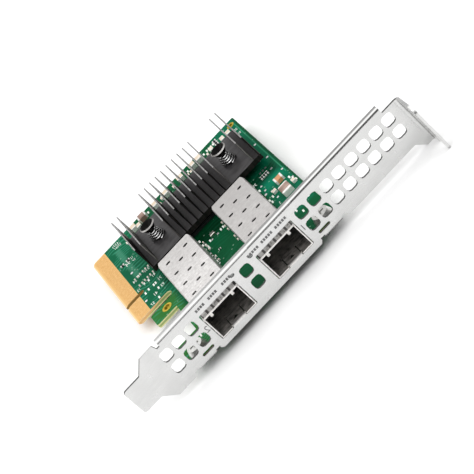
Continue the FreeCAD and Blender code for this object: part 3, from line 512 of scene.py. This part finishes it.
def chip_finish(name, hex_light, hex_dark, roughness, end_share=0.24):
    """Fired body between two tinned ends, told apart by the attribute 'along'."""
    material, tree, place = new_material(name)
    along = add(tree, "Attribute", attribute_name="along").outputs["Fac"]
    middle = add(tree, "Math", operation="SUBTRACT", n0=along, n1=0.5)
    off_middle = add(tree, "Math", operation="ABSOLUTE", n0=middle)
    end = add(tree, "Math", operation="GREATER_THAN", n0=off_middle, n1=0.5 - end_share)
    speckle = add(tree, "TexNoise", Vector=place, Scale=1 / (SPECKLE * MM), Detail=2.0)
    region = add(tree, "TexNoise", Vector=place, Scale=1 / (BATCH * MM), Detail=0.0)
    batch = add(tree, "MapRange", Value=region, From_Min=0.4, From_Max=0.6)
    tone = add(tree, "Mix", data_type="FLOAT", n0=0.6, n2=speckle.outputs[0], n3=batch.outputs[0])
    body = add(tree, "Mix", data_type="RGBA", n0=tone, n6=linear(hex_dark), n7=linear(hex_light))
    colour = add(tree, "Mix", data_type="RGBA", n0=end, n6=body, n7=linear("#F1EFEB"))
    metal = add(tree, "Math", operation="MULTIPLY", n0=end, n1=0.25)
    sheen = add(tree, "MapRange", Value=end, To_Min=roughness, To_Max=0.36)
    relief = add(tree, "Bump", Strength=0.5, Distance=SPECKLE_DEPTH * MM, Height=speckle)
    shader = add(tree, "BsdfPrincipled", Base_Color=colour, Metallic=metal, Roughness=sheen, IOR=1.6,
                 Normal=relief)
    add(tree, "OutputMaterial", Surface=shader)
    return material


# Fired ceramic: a satin skin, pinkish where the part is small, creamy where it is large.
capacitor = chip_finish("fired_capacitor_ceramic", "#F0DCC6", "#CDAE97", 0.45)
cream_capacitor = chip_finish("cream_capacitor_ceramic", "#F3E7D4", "#D9C6AC", 0.45, 0.2)
# Moulded resin, a warm orange with a duller face.
tantalum = chip_finish("orange_tantalum_moulding", "#E9B285", "#C58455", 0.5, 0.2)
# A glassy black film, so the smoothest of the bodies.
resistor = chip_finish("glazed_resistor_film", "#2A2A2D", "#1C1C1F", 0.3, 0.27)
# Pressed powder: dull and brown.
ferrite = chip_finish("pressed_ferrite", "#B59A8E", "#7E6255", 0.6, 0.16)
print("chip finishes:", capacitor.name, tantalum.name, resistor.name, ferrite.name)

# %% [markdown]
# Each node now takes its material. Where one solid shows two finishes, such as the board's masked faces and
# its sawn sides, the faces are told apart by their normals or their places, and only the material number of
# a face changes: the shape stays as it came.

# %% Materials on the construction model
def dress(name, *materials):
    """Give a node its materials, the first one all over."""
    mesh = nodes[name].data
    mesh.materials.clear()
    for material in materials:
        mesh.materials.append(material)
    for polygon in mesh.polygons:
        polygon.material_index = 0


def dress_faces(name, index, wanted):
    """Give the numbered material to the faces that pass a test of normal and centre in millimetres."""
    chosen = [face for face in nodes[name].data.polygons if wanted(face.normal, face.center / MM)]
    for face in chosen:
        face.material_index = index
    print(name, "faces of finish", index, ":", len(chosen))


plain = {
    "bracket_screws": zinc, "crystal_oscillator": can_metal, "plated_hole_rims": olive_gold,
    "edge_contacts_component_side": gold, "edge_contacts_solder_side": gold,
    "controller_chip": epoxy, "voltage_regulator": epoxy, "thermal_pad": silicone, "status_lamps": lamp_resin,
    "small_ceramic_capacitors": capacitor, "solder_side_capacitors": capacitor,
    "chip_resistors": resistor, "power_inductors": ferrite,
}
for side in ("left", "right"):
    plain.update({
        "spring_collar_" + side: spring_sheet, "host_connector_" + side: filled_resin,
        "connector_contacts_" + side: gold, "push_pin_spring_" + side: spring_wire,
        "light_guide_" + side: acrylic})
for name, material in plain.items():
    dress(name, material)
print("nodes with one finish:", len(plain), "of", len(nodes))

# %% [markdown]
# The bracket is punched out of plated sheet and then folded. So its face, its flange and its bends are
# plated, and the walls of every opening, its outline and the broken edge of the flange are bare sheared
# steel. The inside of a cage sees little light, so its inner faces are painted darker than the outside,
# painted shade, with a rougher sheen. That lets a port read as a deep opening.

# %% Two finishes on the bracket, and painted shade inside the cages
BEHIND_FACE, SQUARE_TO_FACE, BELOW_BEND = 0.9, 0.12, 15.0
dress("bracket", nickel_steel, sheared_steel)
dress_faces("bracket", 1, lambda normal, at: abs(normal.y) < SQUARE_TO_FACE and 0 < at.y < BEHIND_FACE
            and at.z < BELOW_BEND)
dress_faces("bracket", 1, lambda normal, at: at.y > 2 * BEHIND_FACE and normal.y > 0.5 and normal.z > 0.5)

PORT_X = middle("cage_right")[0]
CAGE_FLOOR, CAGE_INNER_HALF, CAGE_INNER_TOP = 0.2, 7.0, 8.9
for name, centre in (("cage_left", -PORT_X), ("cage_right", PORT_X)):
    dress(name, nickel_silver, nickel_silver_inner)
    dress_faces(name, 1, lambda normal, at, x=centre: abs(at.x - x) < CAGE_INNER_HALF and normal.y > -0.3
                and CAGE_FLOOR < at.z < CAGE_INNER_TOP)

# %% [markdown]
# A push pin is black all over, but the rim of its dished head is painted light grey: a painted highlight,
# the crescent of light it would catch. Only the sloping faces of the rim take it.

# %% Rims of the push pins
PIN_PLACES = {name: middle(name)[:2] for name in ("push_pin_left", "push_pin_right")}
RIM_INNER, RIM_LOW = 2.4, 10.6
for name, (x, y) in PIN_PLACES.items():
    dress(name, nylon, nylon_rim)
    dress_faces(name, 1, lambda normal, at, x=x, y=y: math.hypot(at.x - x, at.y - y) > RIM_INNER
                and at.z > RIM_LOW and 0.2 < normal.z < 0.95)

# %% [markdown]
# The board's sides show laminate. Its outline is sawn, the slots round its two lugs are routed, the
# bevelled card edge is tinted by the gold beside it, and the key slot's wall lies between gold contacts.

# %% Sides of the board
FLAT = 0.8
LUGS_X, CARD_EDGE_X = -22.0, -31.0
SLOTS_BACK, CONTACTS_FRONT, KEY_FRONT, KEY_BACK = 47.0, 46.0, 57.9, 60.1
dress("circuit_board", solder_mask, sawn_edge, routed_edge, card_side, key_wall)
dress_faces("circuit_board", 1, lambda normal, at: abs(normal.z) < FLAT)
dress_faces("circuit_board", 2, lambda normal, at: abs(normal.z) < FLAT and at.x < LUGS_X
            and at.y < SLOTS_BACK)
dress_faces("circuit_board", 3, lambda normal, at: abs(normal.z) < FLAT and at.x < CARD_EDGE_X
            and at.y > CONTACTS_FRONT)
dress_faces("circuit_board", 4, lambda normal, at: abs(normal.z) < FLAT and at.x < LUGS_X
            and KEY_FRONT < at.y < KEY_BACK)

# %% [markdown]
# The heatsink takes five materials: the fins' dark sides, their bare upper edges, the base in the two bays,
# painted lighter as painted light, the base between the fins, painted darker as painted shade, and the front
# edges of the four fins that stand beside a bay, painted lighter as painted light from the open bay.

# %% Faces of the heatsink
FIN_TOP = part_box("heatsink")[1].z / MM
BASE_TOP, LEVEL_CLEAR, NEAR_A_BAY = 4.8, 0.1, 0.8
BAYS = ((-18.5, -8.2), (15.4, 25.7))


def in_a_bay(x):
    """Whether a place along the heatsink lies in one of its open bays."""
    return any(low < x < high for low, high in BAYS)


dress("heatsink", anodised_fin, sheared_edge, anodised_base, anodised_front, anodised_gap)
dress_faces("heatsink", 3, lambda normal, at: normal.y < -0.9 and at.z > BASE_TOP
            and any(abs(at.x - edge) < NEAR_A_BAY for bay in BAYS for edge in bay))
dress_faces("heatsink", 1, lambda normal, at: normal.z > 0.9 and at.z > FIN_TOP - LEVEL_CLEAR)
for finish, wanted in ((2, True), (4, False)):
    dress_faces("heatsink", finish, lambda normal, at, wanted=wanted: normal.z > 0.9
                and abs(at.z - BASE_TOP) < LEVEL_CLEAR and in_a_bay(at.x) == wanted)

# %% [markdown]
# Two nodes hold parts that aren't alike. One of the large capacitors, the one beside the right cage, is an
# orange tantalum part. The memory is a moulded package whose leads are tinned: they are all that lies
# outside its body.

# %% A tantalum part, and the memory's leads
TANTALUM_X, TANTALUM_Y = 22.0, (40.0, 60.0)
dress("large_ceramic_capacitors", cream_capacitor, tantalum)
dress_faces("large_ceramic_capacitors", 1, lambda normal, at: at.x > TANTALUM_X
            and TANTALUM_Y[0] < at.y < TANTALUM_Y[1])

memory_low, memory_high = [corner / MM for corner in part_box("flash_memory")]
LEAD_REACH = 1.02
dress("flash_memory", epoxy, tin)
body_front, body_back = memory_low.y + LEAD_REACH, memory_high.y - LEAD_REACH
dress_faces("flash_memory", 1, lambda normal, at: not body_front < at.y < body_back)

# %% [markdown]
# The new pieces start as primitives, sized and placed as by hand. A pad of solder, a chip and a hanging tab
# are made alike: a plane is extruded up, and its top face is drawn in and raised a little, so that the
# upper edges are softened and catch light.

# %% Crowned blocks
def crown(height, inset, rise):
    """Extrude a flat piece up, draw its top face in and raise it, all in millimetres."""
    bpy.ops.object.mode_set(mode="EDIT")
    bpy.ops.mesh.select_all(action="SELECT")
    bpy.ops.mesh.extrude_region_move(TRANSFORM_OT_translate={"value": (0, 0, height * MM)})
    bpy.ops.mesh.inset(thickness=inset * MM, depth=rise * MM)
    bpy.ops.object.mode_set(mode="OBJECT")
    return bpy.context.object


def crowned_block(width, length, height, inset=0.1, rise=0.02):
    """A block on z = 0 with its upper edges drawn in; sizes in millimetres."""
    bpy.ops.object.select_all(action="DESELECT")
    bpy.ops.mesh.primitive_plane_add(size=1.0)
    bpy.context.object.scale = (width * MM, length * MM, 1.0)
    bpy.ops.object.transform_apply(location=False, rotation=False, scale=True)
    return crown(height, inset, rise)


sample = crowned_block(1.0, 1.0, 1.0)
print("a crowned block's faces:", len(sample.data.polygons))
bpy.data.objects.remove(sample)

# %% [markdown]
# What repeats is modelled once and copied, each copy with its own mesh, and the copies of one kind are
# joined to one object. Its place is applied to its mesh, its faces are turned outward, and it rides on the
# card's one body.

# %% Copies and joining
def copies(piece, places):
    """Copies of a piece at (x, y, z) in millimetres, each with its own mesh; the piece itself is deleted."""
    made = []
    for x, y, z in places:
        twin = piece.copy()
        twin.data = piece.data.copy()
        bpy.context.scene.collection.objects.link(twin)
        twin.location = (x * MM, y * MM, z * MM)
        made.append(twin)
    bpy.data.objects.remove(piece)
    return made


def joined(pieces, name, material):
    """Join pieces to one object, put its place in its mesh, turn its faces outward, and let it ride."""
    bpy.ops.object.select_all(action="DESELECT")
    for piece in pieces:
        piece.select_set(True)
    bpy.context.view_layer.objects.active = pieces[0]
    bpy.ops.object.transform_apply(location=True, rotation=True, scale=True)
    if len(pieces) > 1:
        bpy.ops.object.join()
    whole = bpy.context.object
    bpy.ops.object.mode_set(mode="EDIT")
    bpy.ops.mesh.select_all(action="SELECT")
    bpy.ops.mesh.normals_make_consistent(inside=False)
    bpy.ops.object.mode_set(mode="OBJECT")
    whole.name = name
    whole.data.name = name
    whole.data.materials.clear()
    whole.data.materials.append(material)
    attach(whole, "root")
    print(name, "pieces:", len(pieces), " faces:", len(whole.data.polygons))
    return whole


# %% [markdown]
# Printed numbers are text objects made to meshes, squeezed to narrow letters. The card is built as the
# mirror image of the real one, so its print is mirrored too: each number is scaled by minus one across, and
# its faces are turned outward again when it is joined.

# %% Printed numbers
CAP_SHARE = 0.7
PRINT_HALF = 0.01


def printed_number(text, height, squeeze, place, upright=False):
    """A mirrored number of a given height, centred on its place, lying flat or upright; millimetres."""
    bpy.ops.object.select_all(action="DESELECT")
    bpy.ops.object.text_add(location=(0, 0, 0))
    number = bpy.context.object
    number.data.body = text
    number.data.size = height / CAP_SHARE * MM
    number.data.align_x = number.data.align_y = "CENTER"
    number.data.resolution_u = 2
    number.data.extrude = PRINT_HALF * MM
    bpy.ops.object.convert(target="MESH")
    number.scale = (-squeeze, 1.0, 1.0)
    number.rotation_euler = (math.radians(90 if upright else 0), 0, 0)
    number.location = [c * MM for c in place]
    return number


print("print is", 2 * PRINT_HALF, "mm thick; a figure is", CAP_SHARE, "of the text's size")

# %% [markdown]
# White screen print numbers the board's parts. The numbers here are plain and mean nothing. A table gives
# each row's start and end along X, its place along Y and its height.

# %% White print on the board
NARROW = 0.62
GLYPH_PITCH = 1.0
number_rows = [
    (-28.6, -24.9, 96.7, 1.6), (-28.8, -23.8, 94.8, 1.4), (-28.2, -26.7, 80.2, 2.4),
    (-26.1, -24.1, 81.4, 1.3), (-26.0, -24.0, 78.9, 1.3), (-30.5, -28.3, 67.8, 1.8),
    (-25.7, -22.3, 67.5, 1.8), (-31.1, -29.3, 61.4, 1.6), (-24.4, -22.3, 61.4, 1.8),
    (-23.5, -21.6, 56.5, 1.8), (-27.6, -26.0, 51.3, 2.0), (-23.9, -22.3, 52.2, 1.8),
    (-30.3, -28.7, 47.9, 1.7), (19.2, 21.0, 52.5, 1.8), (28.6, 30.2, 90.3, 1.5),
    (28.6, 30.2, 86.6, 1.5), (21.0, 22.4, 32.2, 1.5),
]
random.seed(7)
numbers = []
for start, stop, y, height in number_rows:
    count = max(1, round((stop - start) / GLYPH_PITCH))
    text = "".join(random.choice("123456789") for _ in range(count))
    numbers.append(printed_number(text, height, NARROW, ((start + stop) / 2, y, PRINT_HALF)))
joined(numbers, "white_board_numbers", white_ink)

# %% [markdown]
# Between the numbers stand short strokes of the same ink: the outlines and polarity bars of the small
# parts. They lie in rows beside the card edge, in front of the heatsink and along the back edge. On both
# sides of the cages, behind the bracket's vents, only glimpses of the print can be seen, so the strokes
# there are strewn at random over two rectangles.

# %% White strokes
stroke = crowned_block(0.6, 1.6, 0.015, 0.03, 0.005)
stroke_places = [(x, y, 0.0) for x, y in (
    (-27.4, 68.6), (-27.5, 62.1), (-25.7, 61.4), (-29.2, 56.5), (-27.6, 56.9), (-25.4, 56.5), (-24.5, 56.5),
    (-24.8, 52.7), (-26.6, 47.9), (-4.3, 49.0), (-2.4, 49.0), (-4.1, 46.0), (-4.1, 47.4), (2.6, 49.0),
    (3.7, 49.0), (-5.1, 53.8), (-5.1, 50.3), (-5.2, 36.1), (20.0, 47.7), (20.0, 38.2), (20.3, 36.2),
    (29.6, 39.6), (29.4, 36.9), (29.4, 35.5), (30.7, 35.5), (21.6, 38.5), (-16.0, 95.2), (-11.0, 95.6),
    (-4.0, 96.4), (8.2, 95.0), (16.0, 95.0), (17.6, 95.2), (18.6, 95.2), (19.6, 95.2), (20.6, 95.2))]
BEHIND_THE_VENTS = (((21.5, 4.0), (30.5, 29.0), 16), ((-31.0, 3.0), (-21.5, 15.0), 8))
for low, high, count in BEHIND_THE_VENTS:
    stroke_places += [(random.uniform(low[0], high[0]), random.uniform(low[1], high[1]), 0.0)
                      for _ in range(count)]
joined(copies(stroke, stroke_places), "white_board_strokes", white_ink)

# %% [markdown]
# Bare pads are left open in the mask and carry a low dome of solder. Two rows stand along the cages' inner
# walls, and the rest beside the small parts.

# %% Solder pads
INNER_WALL = 5.15
PAD_ROWS = (12.0, 16.4, 20.8, 25.2, 29.6, 34.0, 38.4, 42.8)
pad_places = [(side * INNER_WALL, y, 0.0) for side in (-1, 1) for y in PAD_ROWS]
pad_places += [(x, y, 0.0) for x, y in (
    (22.6, 36.0), (22.6, 41.5), (30.4, 38.2), (21.4, 45.2), (21.4, 49.0), (30.0, 47.0), (-1.6, 48.6),
    (1.0, 48.6), (-4.5, 39.1), (24.2, 55.8), (25.4, 55.8), (26.6, 55.8))]
joined(copies(crowned_block(0.8, 0.9, 0.03, 0.2, 0.05), pad_places), "solder_pads", tin)

# %% [markdown]
# Test points are round, and a probe touches their domed tops. Each is a filled circle, crowned as the
# blocks are; its top is drawn in by a share of its radius.

# %% Round test points
POINT_RADIUS, POINT_HEIGHT, DOME_SHARE = 0.55, 0.03, 0.3
bpy.ops.object.select_all(action="DESELECT")
bpy.ops.mesh.primitive_circle_add(vertices=20, radius=POINT_RADIUS * MM, fill_type="NGON")
test_point = crown(POINT_HEIGHT, POINT_RADIUS * DOME_SHARE, POINT_HEIGHT)
point_places = [(x, y, 0.0) for x, y in (
    (-5.5, 46.9), (-5.3, 40.8), (20.5, 42.9), (27.7, 52.5), (-30.6, 52.6), (-28.4, 73.6), (29.6, 60.0),
    (28.2, 66.0), (29.9, 72.4))]
joined(copies(test_point, point_places), "round_test_points", tin)

# %% [markdown]
# A few more chip capacitors stand at the back edge, too small to be worth a solid in the construction
# model. They are crowned blocks with the same tinned ends.

# %% Small capacitors at the back edge
extra_chips = copies(crowned_block(1.7, 2.4, 1.1, 0.12, 0.08),
                     [(24.1, 91.5, 0.0), (26.9, 91.5, 0.0), (19.0, 92.2, 0.0), (-16.2, 92.6, 0.0)])
extra_chips += copies(crowned_block(0.8, 1.5, 0.5, 0.08, 0.05),
                      [(-23.0, 90.6, 0.0), (-5.9, 92.6, 0.0), (7.6, 92.4, 0.0), (8.9, 92.4, 0.0),
                       (17.0, 92.2, 0.0)])
mark_length(joined(extra_chips, "back_edge_capacitors", cream_capacitor))

# %% [markdown]
# Four small tabs hang from the roof just inside the two mouths. They are lanced out of the cage's sheet and
# stop a module that is pushed in upside down. Each is a crowned block turned over, so that its tip is
# narrower.

# %% Roof tabs in the ports
TAB_OFFSET, TAB_Y = 4.5, 0.7
tabs = copies(crowned_block(1.0, 0.25, 1.5, 0.08, 0.25),
              [(centre + side * TAB_OFFSET, TAB_Y, CAGE_INNER_TOP) for centre in (-PORT_X, PORT_X)
               for side in (-1, 1)])
for tab in tabs:
    tab.rotation_euler = (math.pi, 0, 0)
joined(tabs, "port_roof_tabs", spring_sheet)

# %% [markdown]
# Each push pin is held up by a conical spring. In the construction model its wire has six flat sides; here
# a smooth coil takes its place, because a polished wire is known by the unbroken line of light along each
# turn. A circle of wire is swept round and up by the Screw modifier, half a turn at a time. The Taper then
# narrows the coil towards the pin's head, and both modifiers are applied.

# %% Smooth springs
WIRE_R, COIL_R, COIL_TOP_SHARE = 0.25, 2.62, 0.62
HALF_TURNS, STEPS = 9, 14
COIL_LOW, COIL_HIGH = 5.05, 8.63


def wire_coil():
    """A conical coil of wire about the Z axis, its first end turned to the front."""
    bpy.ops.object.select_all(action="DESELECT")
    bpy.ops.mesh.primitive_circle_add(vertices=10, radius=WIRE_R * MM, location=(COIL_R * MM, 0, 0),
                                      rotation=(math.pi / 2, 0, 0))
    bpy.ops.object.transform_apply(location=True, rotation=True, scale=True)
    coil = bpy.context.object
    screw = coil.modifiers.new("turns", "SCREW")
    screw.angle = math.pi
    screw.iterations = HALF_TURNS
    screw.screw_offset = (COIL_HIGH - COIL_LOW) * MM / HALF_TURNS
    screw.steps = screw.render_steps = STEPS
    taper = coil.modifiers.new("taper", "SIMPLE_DEFORM")
    taper.deform_method = "TAPER"
    taper.deform_axis = "Z"
    taper.factor = COIL_TOP_SHARE - 1
    for modifier in ("turns", "taper"):
        bpy.ops.object.modifier_apply(modifier=modifier)
    bpy.ops.object.mode_set(mode="EDIT")
    bpy.ops.mesh.select_all(action="SELECT")
    bpy.ops.mesh.fill_holes(sides=0)
    bpy.ops.object.mode_set(mode="OBJECT")
    bpy.ops.object.shade_smooth()
    coil.rotation_euler = (0, 0, -math.pi / 2)
    return coil


coils = copies(wire_coil(), [(x, y, COIL_LOW) for x, y in PIN_PLACES.values()])
for side, coil in zip(("left", "right"), coils):
    spring = joined([coil], "smooth_spring_" + side, spring_wire)
    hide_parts("push_pin_spring_" + side)

# %% [markdown]
# The bracket carries a little grey print: three short bars over each port, and each port's number. On a
# real card the bars are words; here they are rows of plain dashes. The ink is one or two hundredths of a
# millimetre thick, and the dashes are bolder than print, so that they show from a step away.

# %% Grey print on the bracket
DASH_PITCH = 0.98
DASH_Z = 12.75
bars = ((-19.7, -15.5), (-14.3, -9.5), (-8.3, -3.5), (2.9, 7.8), (8.9, 14.0), (14.9, 20.0))
dash_places = []
for start, stop in bars:
    count = int((stop - start) / DASH_PITCH)
    dash_places += [(start + (i + 0.5) * DASH_PITCH, 0.0, DASH_Z) for i in range(count)]
dashes = copies(crowned_block(0.74, 0.95, 0.012, 0.02, 0.003), dash_places)
for dash in dashes:
    dash.rotation_euler = (math.radians(90), 0, 0)
joined(dashes, "grey_port_dashes", grey_ink)

port_numbers = [printed_number(text, 2.3, 0.95, (x, -PRINT_HALF, z), upright=True)
                for text, x, z in (("2", -21.0, 5.8), ("1", 21.0, 5.7))]
joined(port_numbers, "grey_port_numbers", grey_ink)

# %% [markdown]
# The card lies on a pale floor, a plane at the height of its lowest point, so that its shadow tells how it
# lies. A faint cloudiness keeps the floor from looking like empty space.

# %% Floor
floor_low = cad_box[0][2]
bpy.ops.object.select_all(action="DESELECT")
bpy.ops.mesh.primitive_plane_add(size=8.0, location=(0, 0, floor_low))
floor = bpy.context.object
floor.name = "pale_floor"
floor_material, tree, place = new_material("pale_matte_floor")
cloud = add(tree, "TexNoise", Vector=place, Scale=1 / (40 * MM))
tone = add(tree, "Mix", data_type="RGBA", n0=cloud.outputs[0], n6=linear("#FCFCFC"), n7=linear("#FFFFFF"))
add(tree, "OutputMaterial", Surface=add(tree, "BsdfPrincipled", Base_Color=tone, Roughness=0.9))
floor.data.materials.append(floor_material)
print("floor at", round(floor_low / MM, 2), "mm")

# %% [markdown]
# The surround is white overhead and darker close to the horizon. A diffuse surface hardly notices that, but
# the bends of the sheet metal mirror that band as a thin dark line, and the line is what makes a bend look
# round.

# %% White surround
world = bpy.data.worlds.new("white_surround")
bpy.context.scene.world = world
world.use_nodes = True
tree = world.node_tree
tree.nodes.clear()
height = add(tree, "SeparateXYZ", Vector=add(tree, "TexCoord").outputs["Generated"]).outputs["Z"]
level = add(tree, "MapRange", Value=height, From_Min=0.2, From_Max=0.8, To_Min=0.02, To_Max=1.55)
add(tree, "OutputWorld", Surface=add(tree, "Background", Color=linear("#FFFFFF"), Strength=level))
print("surround:", world.name, "with", len(tree.nodes), "nodes")

# %% [markdown]
# Three soft lights, all aimed at the ports' end of the board, give the metal its gradients. The key light
# is high on the bracket's side, a weaker one fills the shade beside the ear, and a strip of light behind
# picks out the flange and the fins.

# %% Lights
AIM = (0.0, 0.03, 0.0)


def soft_light(name, place, size, power):
    """A rectangular area light that looks at the board."""
    lamp = bpy.data.lights.new(name, "AREA")
    lamp.shape = "RECTANGLE"
    lamp.size, lamp.size_y = size
    lamp.energy = power
    light = bpy.data.objects.new(name, lamp)
    bpy.context.scene.collection.objects.link(light)
    light.location = place
    light.rotation_euler = (Vector(AIM) - Vector(place)).to_track_quat("-Z", "Y").to_euler()
    print(name, power, "W")


soft_light("key_light", (-0.2, -0.45, 0.6), (0.6, 0.6), 1.0)
soft_light("fill_light", (0.5, -0.3, 0.35), (0.4, 0.4), 0.25)
soft_light("back_light", (-0.3, 0.6, 0.45), (0.6, 0.25), 0.35)

# %% [markdown]
# The camera looks down on the component side from beyond the bracket, from some way off with a long lens,
# so lines that run into the card stay nearly parallel. The picture itself is turned, so that the bracket
# climbs from the lower left to the upper right. Its three axes are worked out from those angles.

# %% Camera
camera_place = Vector((20.835, -633.991, 358.673)) * MM
aside, dip, level_error, picture_turn = [math.radians(angle) for angle in (-1.38837, 28.1027, 0.57586, 46.8)]


def turned(angle, first, second):
    """Two square axes, turned in their own plane by an angle."""
    return (math.cos(angle) * first + math.sin(angle) * second,
            -math.sin(angle) * first + math.cos(angle) * second)


forward = Vector((math.sin(aside) * math.cos(dip), math.cos(aside) * math.cos(dip), -math.sin(dip)))
right = Vector((math.cos(aside), -math.sin(aside), 0.0))
camera_right, camera_down = turned(picture_turn, *turned(level_error, right, forward.cross(right)))

lens = bpy.data.cameras.new("camera")
lens.lens = 183.66
lens.sensor_width = 36.0
lens.clip_start = 0.05
camera = bpy.data.objects.new("camera", lens)
bpy.context.scene.collection.objects.link(camera)
turn = Matrix((camera_right, -camera_down, -forward)).transposed().to_4x4()
camera.matrix_world = Matrix.Translation(camera_place) @ turn
bpy.context.scene.camera = camera
bpy.context.scene.view_settings.view_transform = "Standard"
print("camera stands", round(camera_place.length / MM), "mm from the origin")
